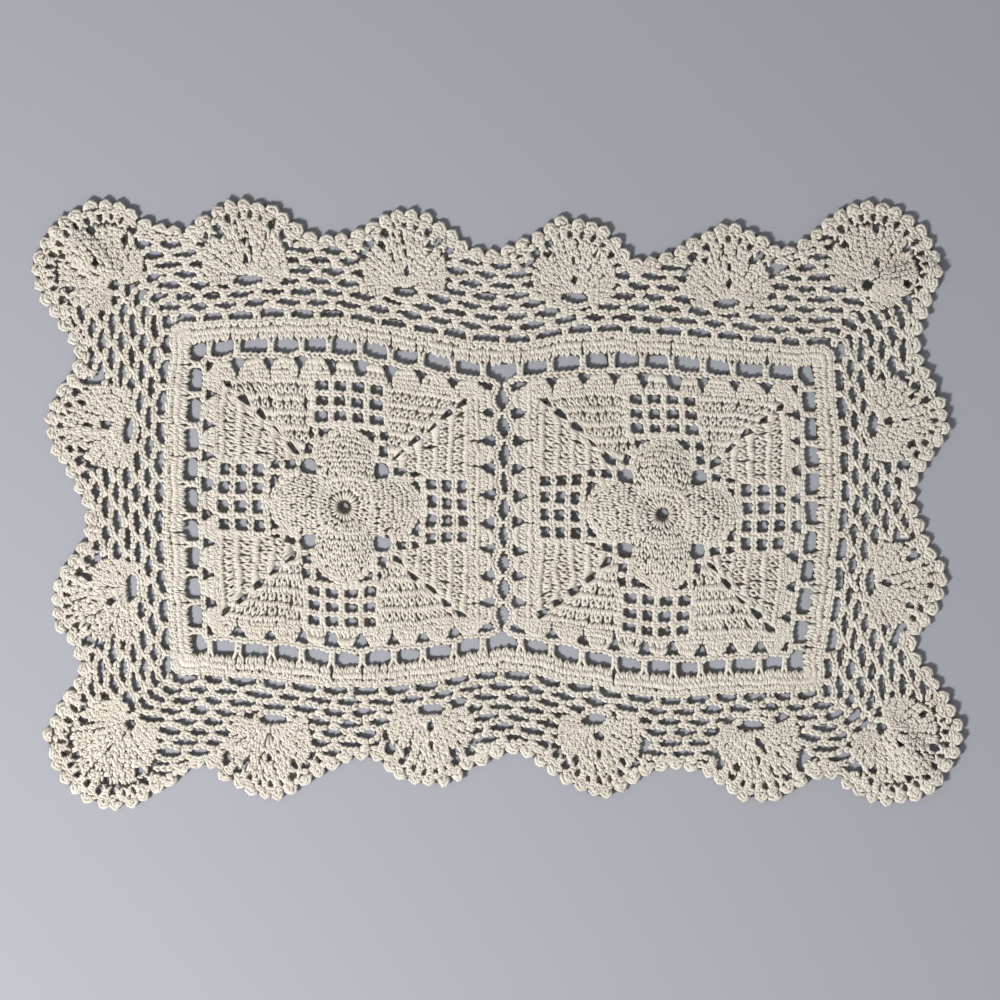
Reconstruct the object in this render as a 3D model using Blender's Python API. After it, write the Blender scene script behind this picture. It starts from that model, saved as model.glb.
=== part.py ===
"""A crocheted lace doily, lying flat.

It has three pieces. Two flower squares are worked first, each from its centre outwards, and joined side by
side. The border is then worked round both: a row of open windows, a close band, a diamond net, and a shell
edging with picots.

The doily is laid out on a chart in millimetres, which is the doily as it was worked, with straight sides.
place() carries a chart point to where it lies, with the pull and sag of a doily laid out by hand. The shells
are given where they lie.
"""

import math

import bmesh
import bpy
from mathutils import Matrix, Vector

MM = 0.001

# The cloth
THICK = 2.6                 # two threads, one over the other
SEAM = 0.3                  # between two pieces
LOOP = 15.2                 # one chain loop of every round of the border

# A flower square, on the chart, measured from the flower's centre
SQUARE = 72.0               # to the chain round that ends the square
JOIN = 77.5                 # to the line where the two squares meet
LOOPS_A_SIDE = 9
LEAN = 2.1                  # every round leans this far clockwise, as crochet worked in rounds does
FILET_ROWS = (42.2, 49.7, 57.3)
FILET_COLUMNS = (-13.8, -4.6, 4.6, 13.8)
FILET_HOLE = (5.4, 4.8)     # across, and along the row's height
DIAGONAL_HOLES = (          # distance along each axis, half diagonal
    (17.3, 3.1),
    (25.4, 3.3),
)
JOIN_HOLE = (8.3, 3.4, 2.6)         # distance from the join, half width, half height
DIAMONDS = (5.2, 5.0, 4.6, 3.7, 3.4, 3.7, 4.6, 5.0, 5.2)    # half height of each gap down the join
DIAMOND_SLENDER = 0.78      # a diamond's half width to its half height

# The flower, whose petals puff up
EYE = 2.5                   # radius of the hole at its centre
PETAL = (19.6, 17.0, 14.4, 3.3)     # centre's distance, half length, half width, rise

# The border, on the chart, measured outwards from the chain round
CHAIN = 1.5                 # half width of the chain round
WINDOW = 7.2                # to the close band
WINDOW_SAG = 1.2            # how far the chain under a window sags into the square
POST = 3.6                  # width of a post between two windows
CORNER_WINDOW = 5.6
BAND = 17.6                 # to the net
NET_HOLE = (20.0, 6.6)      # a net hole, at twice its real size and pitch
NET_ROW = 10.2
NET_ROWS = 4
NET_EDGE = 2.4              # least cloth between a net hole and the shells or the rim

# The shells
SHELL = 29.0                # radius at the sides
CORNER_SHELL = (28.2, 4.0)  # radius on the diagonal, and what is added towards its sides
SHELL_ROOT = 12.0           # how far the shell reaches back from its centre
ROOT_HOLE = (6.0, 2.3)      # half width, half height of the hole where a shell starts
PICOT = 7.6                 # spacing round the rim
PICOT_RISE = 1.3

# The middle of the doily's box, which is the part's origin, in the same frame as the two tables below
MIDDLE = (0.6, -0.7)

# The chain round as it lies. Each row is one line across the doily, from its north side to its south side.
CHAIN_ROUND = (
    # chart x, north x, north y, middle x, middle y, south x, south y
    (-JOIN - SQUARE, -143.8, 71.8, -146.8, 1.5, -143.5, -67.1),
    (-JOIN - SQUARE / 2, -109.5, 73.8, -110.5, 0.0, -109.0, -69.9),
    (-JOIN, -74.5, 73.0, -74.5, -1.7, -73.6, -73.4),
    (-JOIN / 2, -36.0, 66.5, -36.0, -2.2, -35.0, -71.0),
    (0.0, 2.7, 61.0, 3.9, -3.2, 2.7, -65.0),
    (JOIN / 2, 42.0, 66.0, 43.0, -4.2, 42.0, -72.0),
    (JOIN, 79.4, 65.6, 82.0, -6.0, 80.2, -77.8),
    (JOIN + SQUARE / 2, 115.0, 62.4, 117.0, -5.2, 113.0, -76.8),
    (JOIN + SQUARE, 149.7, 59.8, 152.0, -5.0, 144.5, -75.5),
)

# The shells as they lie, going round from the north-west corner.
SHELLS = (
    # name, centre x, centre y, root x, root y, facing and half span in degrees, x and y of the dip that follows
    ("north_west", -197.3, 117.6, -189.3, 107.7, 133, 95, -160.3, 133.9),
    ("north_1", -124.5, 120.0, -122.8, 109.9, 90, 48, -89.0, 131.2),
    ("north_2", -45.0, 114.6, -45.4, 104.7, 90, 48, -6.4, 123.0),
    ("north_3", 38.1, 110.4, 38.9, 101.7, 90, 48, 69.5, 118.2),
    ("north_4", 115.1, 107.7, 113.9, 98.8, 90, 48, 145.8, 125.0),
    ("north_east", 187.4, 118.1, 183.2, 107.7, 57, 85, 207.4, 79.9),
    ("east_1", 193.3, 40.8, 186.4, 38.6, 0, 48, 204.9, 7.7),
    ("east_2", 192.3, -39.4, 185.6, -39.4, 0, 48, 204.9, -69.5),
    ("south_east", 198.7, -118.1, 190.8, -111.6, -42, 90, 165.8, -135.2),
    ("south_4", 130.4, -118.1, 126.2, -110.6, -90, 48, 91.8, -129.9),
    ("south_3", 51.2, -115.1, 48.3, -107.2, -90, 48, 11.3, -122.2),
    ("south_2", -32.4, -110.6, -31.9, -102.7, -90, 48, -64.2, -124.3),
    ("south_1", -112.1, -116.6, -110.3, -107.7, -90, 48, -144.3, -129.4),
    ("south_west", -190.3, -120.0, -180.7, -109.6, -132, 90, -204.2, -85.9),
    ("west_2", -189.8, -48.8, -180.1, -42.5, 180, 48, -201.0, -9.2),
    ("west_1", -192.6, 38.4, -182.2, 35.9, 180, 48, -205.7, 72.5),
)

# Soft folds that stand up where the corners were never pressed flat.
FOLDS = (
    # x, y, half length, half width, rise, direction in degrees
    (200.0, 110.0, 24.0, 9.0, 3.4, 17),
    (-204.0, 124.0, 22.0, 10.0, 2.4, 140),
    (205.0, -125.0, 22.0, 9.0, 2.2, -55),
    (-196.0, -126.0, 20.0, 9.0, 1.8, -125),
)
PUFFED, SOFT = 1.2, 3.0     # how a swelling comes down at its edge: steeply, as a petal, or gently, as a fold

CORNER_SPAN = 60            # a shell with a wider half span than this is a corner's
RIM_STEPS = 24              # points of the rim's curve from one knot of it to the next
EYE_SIDES, PETAL_SIDES, FOLD_SIDES = 12, 20, 16


def new_scene():
    """An empty scene, with a collection for the parts and one for what shapes them."""
    for thing in list(bpy.data.objects):
        bpy.data.objects.remove(thing, do_unlink=True)
    parts = bpy.data.collections.new("lace_doily")
    helpers = bpy.data.collections.new("helpers")
    for collection in (parts, helpers):
        bpy.context.scene.collection.children.link(collection)
    return parts, helpers


def centre_on_origin(collections):
    """Hold everything by one empty, which puts the middle of the doily's box on the origin."""
    middle = bpy.data.objects.new("middle", None)
    middle.location = (-MIDDLE[0] * MM, -MIDDLE[1] * MM, 0.0)
    bpy.context.scene.collection.objects.link(middle)
    for collection in collections:
        for piece in collection.objects:
            piece.parent = middle


def cotton(name, colour):
    """Matt cotton thread."""
    material = bpy.data.materials.new(name)
    material.use_nodes = True
    surface = material.node_tree.nodes["Principled BSDF"]
    surface.inputs["Base Color"].default_value = (*colour, 1.0)
    surface.inputs["Roughness"].default_value = 0.9
    surface.inputs["Metallic"].default_value = 0.0
    return material


# ---------------------------------------------------------------- the chart and how it lies

def through(before, start, end, after, t):
    """The smooth curve through four values in a row, at t between start and end."""
    return 0.5 * (
        2 * start
        + (end - before) * t
        + (2 * before - 5 * start + 4 * end - after) * t ** 2
        + (3 * start - 3 * end + after - before) * t ** 3
    )


def line_across(chart_x):
    """The north, middle and south points of the chain round's line at a chart x."""
    last = len(CHAIN_ROUND) - 2
    stretch = next((i for i in range(last) if chart_x < CHAIN_ROUND[i + 1][0]), last)
    near, far = CHAIN_ROUND[stretch], CHAIN_ROUND[stretch + 1]
    before = CHAIN_ROUND[max(stretch - 1, 0)]
    after = CHAIN_ROUND[min(stretch + 2, last + 1)]
    t = (chart_x - near[0]) / (far[0] - near[0])
    return [through(before[i], near[i], far[i], after[i], t) for i in range(1, 7)]


def place(chart_x, chart_y):
    """Where a chart point lies. Past the chain round, it keeps its distance from it."""
    reach = JOIN + SQUARE
    x = min(max(chart_x, -reach), reach)
    y = min(max(chart_y, -SQUARE), SQUARE)
    north_x, north_y, middle_x, middle_y, south_x, south_y = line_across(x)
    v = y / SQUARE
    north, middle, south = v * (v + 1) / 2, 1 - v * v, v * (v - 1) / 2
    return (
        north * north_x + middle * middle_x + south * south_x + chart_x - x,
        north * north_y + middle * middle_y + south * south_y + chart_y - y,
    )


def turned(points, quarter):
    """Points turned by quarter turns about the origin."""
    cos, sin = ((1, 0), (0, 1), (-1, 0), (0, -1))[quarter % 4]
    return [(x * cos - y * sin, x * sin + y * cos) for x, y in points]


def moved(points, x, y):
    return [(px + x, py + y) for px, py in points]


def placed(points):
    return [place(x, y) for x, y in points]


def lozenge(half_width, half_height):
    return [(half_width, 0), (0, half_height), (-half_width, 0), (0, -half_height)]


def block(width, height):
    across, up = width / 2, height / 2
    return [(across, -up), (across, up), (-across, up), (-across, -up)]


def loop_stations(count):
    """The middles of a run of loops, centred on zero."""
    return [LOOP * (i - (count - 1) / 2) for i in range(count)]


# ---------------------------------------------------------------- the flower squares

def square_outline(side):
    """A square's edge on the chart, with half of each diamond cut from the join. side is -1 or 1."""
    gap = SEAM / 2
    far, near = JOIN + SQUARE - gap, gap
    rung = SQUARE - gap
    posts = [LOOP * (i - LOOPS_A_SIDE / 2) for i in range(LOOPS_A_SIDE + 1)]
    bottom = [(near, -rung)] + [(JOIN + x, -rung) for x in posts] + [(far, -rung)]
    top = [(far, rung)] + [(JOIN - x, rung) for x in posts] + [(near, rung)]
    outer = [(far, y) for y in posts]
    join = []
    for y, half in zip(reversed(loop_stations(LOOPS_A_SIDE)), DIAMONDS):
        join += [(near, y + half), (near + half * DIAMOND_SLENDER, y), (near, y - half)]
    outline = bottom + outer + top + join
    return [(side * x, y) for x, y in outline]


def square_holes(side):
    """The filet holes, the holes on the diagonals and the gaps beside the join."""
    centre = (side * JOIN, 0)
    holes = []
    for quarter in range(4):
        for row in FILET_ROWS:
            for column in FILET_COLUMNS:
                hole = moved(block(*FILET_HOLE), column + LEAN, row)
                holes.append(moved(turned(hole, quarter), *centre))
        for distance, half in DIAGONAL_HOLES:
            hole = moved(lozenge(half, half), distance + LEAN / 3, distance - LEAN / 3)
            holes.append(moved(turned(hole, quarter), *centre))
    away, half_width, half_height = JOIN_HOLE
    for y in loop_stations(LOOPS_A_SIDE - 1):
        holes.append(moved(lozenge(half_width, half_height), side * away, y))
    return holes


# ---------------------------------------------------------------- the border

def border_inner_edge():
    """The border's inner edge on the chart, with a point at each post, as the squares' edges have."""
    far, rung = JOIN + SQUARE + SEAM / 2, SQUARE + SEAM / 2
    posts = [LOOP * (i - LOOPS_A_SIDE / 2) for i in range(LOOPS_A_SIDE + 1)]
    across = [-JOIN + x for x in posts] + [0.0] + [JOIN + x for x in posts]
    edge = [(-far, -rung)] + [(x, -rung) for x in across] + [(far, -rung)]
    edge += [(far, y) for y in posts]
    edge += [(far, rung)] + [(x, rung) for x in reversed(across)] + [(-far, rung)]
    edge += [(-far, y) for y in reversed(posts)]
    return edge


def window(width):
    """A window seen from the chain round, whose chain sags into it."""
    half, sag = width / 2, CHAIN + WINDOW_SAG
    return [(half, sag), (half, WINDOW), (-half, WINDOW), (-half, sag), (-half / 3, CHAIN), (half / 3, CHAIN)]


def windows():
    """The row of windows: nine to each side of a square, a wide one at each end of the join, four at corners."""
    holes = []
    gap = LOOP - POST
    across = [s * JOIN + x for s in (-1, 1) for x in loop_stations(LOOPS_A_SIDE)]
    for quarter, edge in ((0, SQUARE), (2, SQUARE)):
        for x in across:
            holes.append(turned(moved(window(gap), x, edge), quarter))
        holes.append(turned(moved(window(2 * JOIN - LOOP * LOOPS_A_SIDE - POST), 0, edge), quarter))
    for quarter in (1, 3):
        for y in loop_stations(LOOPS_A_SIDE):
            holes.append(turned(moved(window(gap), y, JOIN + SQUARE), quarter))
    corner = WINDOW - CORNER_WINDOW / 2
    for sx in (-1, 1):
        for sy in (-1, 1):
            middle = (sx * (JOIN + SQUARE + corner), sy * (SQUARE + corner))
            holes.append(moved(block(CORNER_WINDOW, CORNER_WINDOW), *middle))
    return holes


def rim():
    """The doily's outer edge as it lies: an arc round each shell, then the dip before the next one."""
    knots = []
    for name, x, y, root_x, root_y, facing, span, dip_x, dip_y in SHELLS:
        steps = 6 if span > CORNER_SPAN else 3
        for i in range(steps + 1):
            off = math.radians(span * (1 - 2 * i / steps))
            radius = SHELL
            if span > CORNER_SPAN:
                radius = CORNER_SHELL[0] + CORNER_SHELL[1] * math.sin(off) ** 2
            angle = math.radians(facing) + off
            knots.append((x + radius * math.cos(angle), y + radius * math.sin(angle)))
        knots.append((dip_x, dip_y))
    fine = []
    for i in range(len(knots)):
        a, b, c, d = (knots[(i + k - 1) % len(knots)] for k in range(4))
        for j in range(RIM_STEPS):
            fine.append(tuple(through(a[k], b[k], c[k], d[k], j / RIM_STEPS) for k in (0, 1)))
    return fine


def spaced(ring, spacing):
    """Points at an even spacing round a closed ring, an even number of them."""
    lengths = [math.dist(ring[i], ring[(i + 1) % len(ring)]) for i in range(len(ring))]
    count = 2 * round(sum(lengths) / spacing / 2)
    step = sum(lengths) / count
    points, run, i = [], 0.0, 0
    for k in range(count):
        target = k * step
        while run + lengths[i] < target:
            run += lengths[i]
            i += 1
        t = (target - run) / lengths[i]
        (ax, ay), (bx, by) = ring[i], ring[(i + 1) % len(ring)]
        points.append((ax + (bx - ax) * t, ay + (by - ay) * t))
    return points


def picots(ring):
    """The rim with a picot at every other point. The ring runs clockwise, so outwards is to its left."""
    edge = []
    for i, (x, y) in enumerate(ring):
        rise = PICOT_RISE if i % 2 else -PICOT_RISE / 2
        along = Vector(ring[(i + 1) % len(ring)]) - Vector(ring[i - 1])
        along.normalize()
        edge.append((x - along.y * rise, y + along.x * rise))
    return edge


def in_shell(x, y):
    """Whether a point is on a shell, or too near one for a net hole."""
    for name, cx, cy, root_x, root_y, facing, span, dip_x, dip_y in SHELLS:
        angle = math.radians(facing)
        ahead = (x - cx) * math.cos(angle) + (y - cy) * math.sin(angle)
        aside = (x - cx) * math.sin(angle) - (y - cy) * math.cos(angle)
        if ahead > 0 and math.hypot(aside, ahead) < SHELL:
            return True
        if ahead <= 0 and abs(aside) / SHELL - ahead / (SHELL_ROOT + NET_EDGE) < 1:
            return True
        if math.hypot(x - root_x, y - root_y) < ROOT_HOLE[0] + NET_EDGE:
            return True
    return False


def inside(x, y, ring):
    """Whether a point is inside a ring and not too near it."""
    odd = False
    for i in range(len(ring)):
        (ax, ay), (bx, by) = ring[i - 1], ring[i]
        if math.hypot(x - bx, y - by) < NET_EDGE:
            return False
        if (ay > y) != (by > y) and x < ax + (y - ay) / (by - ay) * (bx - ax):
            odd = not odd
    return odd


def with_middles(ring):
    """A ring's points and the middles between them."""
    middles = [((ax + bx) / 2, (ay + by) / 2) for (ax, ay), (bx, by) in zip(ring, ring[1:] + ring[:1])]
    return ring + middles


def net_holes(ring):
    """The net's holes, in staggered rows round the band, wherever they are clear of the shells and the rim."""
    holes = []
    for row in range(NET_ROWS):
        out = BAND + NET_EDGE / 2 + NET_HOLE[1] / 2 + NET_ROW * row
        for quarter, edge, end in ((0, SQUARE, JOIN + SQUARE), (1, JOIN + SQUARE, SQUARE)):
            reach = end + out - NET_HOLE[0] / 2
            count = int(reach / LOOP)
            for step in range(-count, count + 1):
                if (step + row) % 2:
                    continue
                hole = moved(lozenge(NET_HOLE[0] / 2, NET_HOLE[1] / 2), step * LOOP, edge + out)
                for half_turn in (0, 2):
                    spread = placed(turned(hole, quarter + half_turn))
                    if all(inside(x, y, ring) and not in_shell(x, y) for x, y in with_middles(spread)):
                        holes.append(spread)
    return holes


def root_holes():
    """The half-moon hole where each shell starts."""
    half, height = ROOT_HOLE
    shoulder = (half * 0.6, height * 0.7)
    shape = [(half, -height), shoulder, (0, height), (-shoulder[0], shoulder[1]), (-half, -height)]
    holes = []
    for name, x, y, root_x, root_y, facing, span, dip_x, dip_y in SHELLS:
        turn = math.radians(facing - 90)
        cos, sin = math.cos(turn), math.sin(turn)
        spun = [(px * cos - py * sin, px * sin + py * cos) for px, py in shape]
        holes.append(moved(spun, root_x, root_y))
    return holes


# ---------------------------------------------------------------- solids

def plate(name, outline, holes, material, collection):
    """A flat piece of the cloth, its underside on z = 0."""
    curve = bpy.data.curves.new(name, "CURVE")
    curve.dimensions = "2D"
    curve.fill_mode = "BOTH"
    curve.extrude = THICK * MM / 2
    for ring in [outline, *holes]:
        spline = curve.splines.new("POLY")
        spline.points.add(len(ring) - 1)
        for point, (x, y) in zip(spline.points, ring):
            point.co = (x * MM, y * MM, 0, 1)
        spline.use_cyclic_u = True
    drawn = bpy.data.objects.new(name + "_outline", curve)
    collection.objects.link(drawn)
    drawn.location.z = THICK * MM / 2
    depsgraph = bpy.context.evaluated_depsgraph_get()
    mesh = bpy.data.meshes.new_from_object(drawn.evaluated_get(depsgraph))
    mesh.name = name
    solid = bpy.data.objects.new(name, mesh)
    solid.matrix_world = drawn.matrix_world.copy()
    solid.location.z = THICK * MM / 2
    collection.objects.link(solid)
    bpy.data.objects.remove(drawn)
    work = bmesh.new()
    work.from_mesh(mesh)
    bmesh.ops.remove_doubles(work, verts=work.verts, dist=1e-6)
    work.to_mesh(mesh)
    work.free()
    mesh.materials.clear()
    mesh.materials.append(material)
    return solid


def swelling(name, x, y, half_length, half_width, rise, angle, shape, segments, collection):
    """A low dome that stands on the middle of the cloth's thickness, to be joined to it."""
    work = bmesh.new()
    bmesh.ops.create_uvsphere(work, u_segments=segments, v_segments=segments // 2, radius=1.0)
    everything = work.verts[:] + work.edges[:] + work.faces[:]
    bmesh.ops.bisect_plane(work, geom=everything, plane_co=(0, 0, 0), plane_no=(0, 0, 1), clear_inner=True)
    rim_edges = [edge for edge in work.edges if edge.is_boundary]
    bmesh.ops.contextual_create(work, geom=rim_edges)
    for vert in work.verts:
        vert.co.z = max(vert.co.z, 0.0) ** shape
    bmesh.ops.scale(work, vec=(half_length * MM, half_width * MM, (rise + THICK / 2) * MM), verts=work.verts)
    bmesh.ops.recalc_face_normals(work, faces=work.faces)
    mesh = bpy.data.meshes.new(name)
    work.to_mesh(mesh)
    work.free()
    dome = bpy.data.objects.new(name, mesh)
    spot = Matrix.Translation((x * MM, y * MM, THICK * MM / 2))
    dome.matrix_world = spot @ Matrix.Rotation(math.radians(angle), 4, "Z")
    dome.hide_render = True
    dome.display_type = "WIRE"
    collection.objects.link(dome)
    return dome


def combine(solid, others, operation):
    for other in others:
        step = solid.modifiers.new(other.name, "BOOLEAN")
        step.operation = operation
        step.solver = "EXACT"
        step.object = other


def eye_cutter(name, x, y, collection):
    """The round hole at a flower's centre."""
    work = bmesh.new()
    radius, depth = EYE * MM, 4 * THICK * MM
    bmesh.ops.create_cone(work, cap_ends=True, segments=EYE_SIDES, radius1=radius, radius2=radius, depth=depth)
    mesh = bpy.data.meshes.new(name)
    work.to_mesh(mesh)
    work.free()
    cutter = bpy.data.objects.new(name, mesh)
    cutter.location = (x * MM, y * MM, THICK * MM)
    cutter.hide_render = True
    cutter.display_type = "WIRE"
    collection.objects.link(cutter)
    return cutter


def flower_square(name, side, material, parts, helpers):
    """One flower square, with its four puffed petals."""
    holes = [placed(hole) for hole in square_holes(side)]
    square = plate(name, placed(square_outline(side)), holes, material, parts)
    x, y = place(side * JOIN, 0)
    away, half_length, half_width, rise = PETAL
    petals = []
    for quarter in range(4):
        (px, py), = moved(turned([(away, 0)], quarter), x, y)
        label = f"{name}_petal_{quarter + 1}"
        dome = (px, py, half_length, half_width, rise, 90 * quarter)
        petals.append(swelling(label, *dome, PUFFED, PETAL_SIDES, helpers))
    combine(square, petals, "UNION")
    combine(square, [eye_cutter(name + "_eye", x, y, helpers)], "DIFFERENCE")


def border(name, material, parts, helpers):
    """The windows, band, net and shells, in one piece."""
    ring = spaced(rim(), PICOT / 2)
    holes = [placed(border_inner_edge())]
    holes += [placed(hole) for hole in windows()]
    holes += root_holes() + net_holes(ring)
    piece = plate(name, picots(ring), holes, material, parts)
    folds = []
    for i, fold in enumerate(FOLDS):
        folds.append(swelling(f"{name}_fold_{i + 1}", *fold, SOFT, FOLD_SIDES, helpers))
    combine(piece, folds, "UNION")


def main():
    parts, helpers = new_scene()
    thread = cotton("cream_cotton", (0.72, 0.66, 0.57))
    flower_square("flower_square_west", -1, thread, parts, helpers)
    flower_square("flower_square_east", 1, thread, parts, helpers)
    border("border", thread, parts, helpers)
    centre_on_origin((parts, helpers))


main()
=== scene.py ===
"""A crocheted lace doily, lying flat: every stitch of it in thread, over a thin ground inside the stitches.

Two flower squares are worked first, each from its centre outwards, and joined side by side. The border is
worked round both: a row of open windows, a close band, a diamond net, and a shell edging with picots.
"""

import math

import bpy
import numpy as np
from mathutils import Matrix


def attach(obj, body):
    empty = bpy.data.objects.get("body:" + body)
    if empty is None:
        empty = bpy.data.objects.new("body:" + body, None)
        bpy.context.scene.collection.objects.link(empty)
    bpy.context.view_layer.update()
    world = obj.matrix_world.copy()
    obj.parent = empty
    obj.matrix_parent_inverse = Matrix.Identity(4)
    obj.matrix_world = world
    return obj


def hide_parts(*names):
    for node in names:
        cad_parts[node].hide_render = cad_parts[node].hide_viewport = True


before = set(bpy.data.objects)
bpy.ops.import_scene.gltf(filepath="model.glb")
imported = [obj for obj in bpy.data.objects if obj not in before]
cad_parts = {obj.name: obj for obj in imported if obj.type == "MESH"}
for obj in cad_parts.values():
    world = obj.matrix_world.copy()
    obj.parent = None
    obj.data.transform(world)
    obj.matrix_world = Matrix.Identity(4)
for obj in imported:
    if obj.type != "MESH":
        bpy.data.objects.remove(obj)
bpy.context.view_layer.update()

bl_info = {
    "name": "Lace doily",
    "version": (1, 0, 0),
    "blender": (4, 5, 0),
    "location": "View3D > Sidebar > Doily",
    "description": "Crochets a lace doily stitch by stitch",
    "category": "Add Mesh",
}

MM = 0.001
TINY = 1e-9

# A flower square, on the chart, in millimetres from the flower's centre. The chart is the doily as it was
# worked, with straight sides; lie() carries a chart point to where it lies.
SQUARE = 72.0  # half a side, to the chain round
JOIN = 77.5  # from the doily's middle to a square's centre
LENGTH = JOIN + SQUARE  # half the length of the chain round both squares
LOOP = 15.2  # one loop of the chain round
LOOPS_A_SIDE = 9
POSTS = LOOP * (np.arange(LOOPS_A_SIDE + 1) - LOOPS_A_SIDE / 2)  # between the loops of a side
STATIONS = LOOP * (np.arange(LOOPS_A_SIDE) - (LOOPS_A_SIDE - 1) / 2)  # the loops' middles
LEAN = 2.1  # how far the leaves and the filet lean round the flower
ROUNDS = (23.2, 30.8, 38.4, 46.0, 53.5, 61.0)  # where each close round of the leaves ends
LEAF_STITCH, LEAF_FOOT = 4.05, 3.55  # a leaf's trebles: width at the top and at the foot
LEAF_STARTS = {1: (22.0, 21.0, 20.5), -1: (20.0, 17.5, 16.3)}  # where half a leaf starts in the first rounds
FILET_POSTS = LEAN + 9.2 * np.arange(-2, 3)
FILET_WIDE = 16.0  # humps this near to the middle of a side stand over the filet
HUMP = 70.2  # top of the humps under the chain round
JOIN_HUMP = HUMP + 2.6  # and on the side that joins the other square
DIAMONDS = (5.2, 5.0, 4.6, 3.7, 3.4, 3.7, 4.6, 5.0, 5.2)  # half heights of the gaps between the squares
DIAMOND_SLENDER = 0.78

# The flower
EYE = 2.5
RING = 7.2
RAYS = 24  # bars between the eye and the ring
CLOSE_ROW, CLOSE_STITCH = 2.42, 2.25  # the petals' close stitches: height and width
CLOSE_THREAD = 0.86  # they are worked tighter, so their thread is thinner
PETAL_ROWS = (7.4, 11.0, 14.8, 18.6, 22.4, 26.2, 29.9, 33.4, 36.6)
PETAL_WIDTHS = (7.2, 10.9, 14.0, 15.0, 15.4, 15.6, 15.2, 13.6, 10.4)
PETAL_BOWS = ((7.4, 0.42), (11.0, 0.26), (18.6, 0.05), (26.2, 0.12), (36.6, 0.40))
PETAL_DOME = (19.6, 17.0, 14.4, 2.1)  # the centre's distance, half length, half width, rise
# The holes on the diagonals: how far out along x and y, and their radius
DIAGONAL = ((18.1, 2.1), (26.4, 2.1), (34.4, 1.8), (42.5, 1.8), (50.3, 1.7), (58.0, 1.6))

# The border, on the chart, measured outwards from the chain round
WINDOW = 7.2
BAND_ROW = 14.0  # where the band's trebles end
BAND = 17.4
BAND_STITCH = 3.04
NET_START = BAND + 4.4
NET_ROW = 5.15
NET_ROUNDS = 11
NET_CORNER = BAND - 2.0  # where the net's rounded corners start
PULL = 2.1  # how far each loop's middle is pulled out by the knot on it
LINK = 1.18  # half the width of the net's chains

# The sides of the border: quarter turns, how far out the chain round is, and its reach to either side.
BORDER_SIDES = ((0, SQUARE, LENGTH), (1, LENGTH, SQUARE), (2, SQUARE, LENGTH), (3, LENGTH, SQUARE))

# The shells
SHELL = 29.0
CORNER_SHELL = (28.2, 4.0)  # radius on the diagonal, and what is added towards its sides
CLOSE_PART = 21.0  # radius of a shell's close part round its centre
PICOT = 7.6

MIDDLE = (0.6, -0.7)  # the middle of the outline, which is put at the origin

CHAIN_ROUND = np.array((
    # chart x, and where the chart's north edge, middle and south edge lie there: x, y of each
    (-LENGTH, -143.8, 71.8, -146.8, 1.5, -143.5, -67.1),
    (-JOIN - SQUARE / 2, -109.5, 73.8, -110.5, 0.0, -109.0, -69.9),
    (-JOIN, -74.5, 73.0, -74.5, -1.7, -73.6, -73.4),
    (-JOIN / 2, -36.0, 66.5, -36.0, -2.2, -35.0, -71.0),
    (0.0, 2.7, 61.0, 3.9, -3.2, 2.7, -65.0),
    (JOIN / 2, 42.0, 66.0, 43.0, -4.2, 42.0, -72.0),
    (JOIN, 79.4, 65.6, 82.0, -6.0, 80.2, -77.8),
    (JOIN + SQUARE / 2, 115.0, 62.4, 117.0, -5.2, 113.0, -76.8),
    (LENGTH, 149.7, 59.8, 152.0, -5.0, 144.5, -75.5),
))

SHELLS = (
    # name, centre x and y, root x and y, facing and half span in degrees, x and y of the dip that follows
    ("north_west", -197.3, 117.6, -189.3, 107.7, 133, 95, -160.3, 133.9),
    ("north_1", -124.5, 120.0, -122.8, 109.9, 90, 48, -89.0, 131.2),
    ("north_2", -45.0, 114.6, -45.4, 104.7, 90, 48, -6.4, 123.0),
    ("north_3", 38.1, 110.4, 38.9, 101.7, 90, 48, 69.5, 118.2),
    ("north_4", 115.1, 107.7, 113.9, 98.8, 90, 48, 145.8, 125.0),
    ("north_east", 187.4, 118.1, 183.2, 107.7, 57, 85, 207.4, 79.9),
    ("east_1", 193.3, 40.8, 186.4, 38.6, 0, 48, 204.9, 7.7),
    ("east_2", 192.3, -39.4, 185.6, -39.4, 0, 48, 204.9, -69.5),
    ("south_east", 198.7, -118.1, 190.8, -111.6, -42, 90, 165.8, -135.2),
    ("south_4", 130.4, -118.1, 126.2, -110.6, -90, 48, 91.8, -129.9),
    ("south_3", 51.2, -115.1, 48.3, -107.2, -90, 48, 11.3, -122.2),
    ("south_2", -32.4, -110.6, -31.9, -102.7, -90, 48, -64.2, -124.3),
    ("south_1", -112.1, -116.6, -110.3, -107.7, -90, 48, -144.3, -129.4),
    ("south_west", -190.3, -120.0, -180.7, -109.6, -132, 90, -204.2, -85.9),
    ("west_2", -189.8, -48.8, -180.1, -42.5, 180, 48, -201.0, -9.2),
    ("west_1", -192.6, 38.4, -182.2, 35.9, 180, 48, -205.7, 72.5),
)

FOLDS = (
    # x, y, half length, half width, rise, direction in degrees
    (200.0, 110.0, 24.0, 9.0, 3.4, 17),
    (-204.0, 124.0, 22.0, 10.0, 2.4, 140),
    (205.0, -125.0, 22.0, 9.0, 2.2, -55),
    (-196.0, -126.0, 20.0, 9.0, 1.8, -125),
)


# ---------------- the chart and how it lies

def through(before, start, end, after, t):
    """The smooth curve through four values in a row, at t between start and end."""
    return 0.5 * (
        2 * start
        + (end - before) * t
        + (2 * before - 5 * start + 4 * end - after) * t ** 2
        + (3 * start - 3 * end + after - before) * t ** 3
    )


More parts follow.
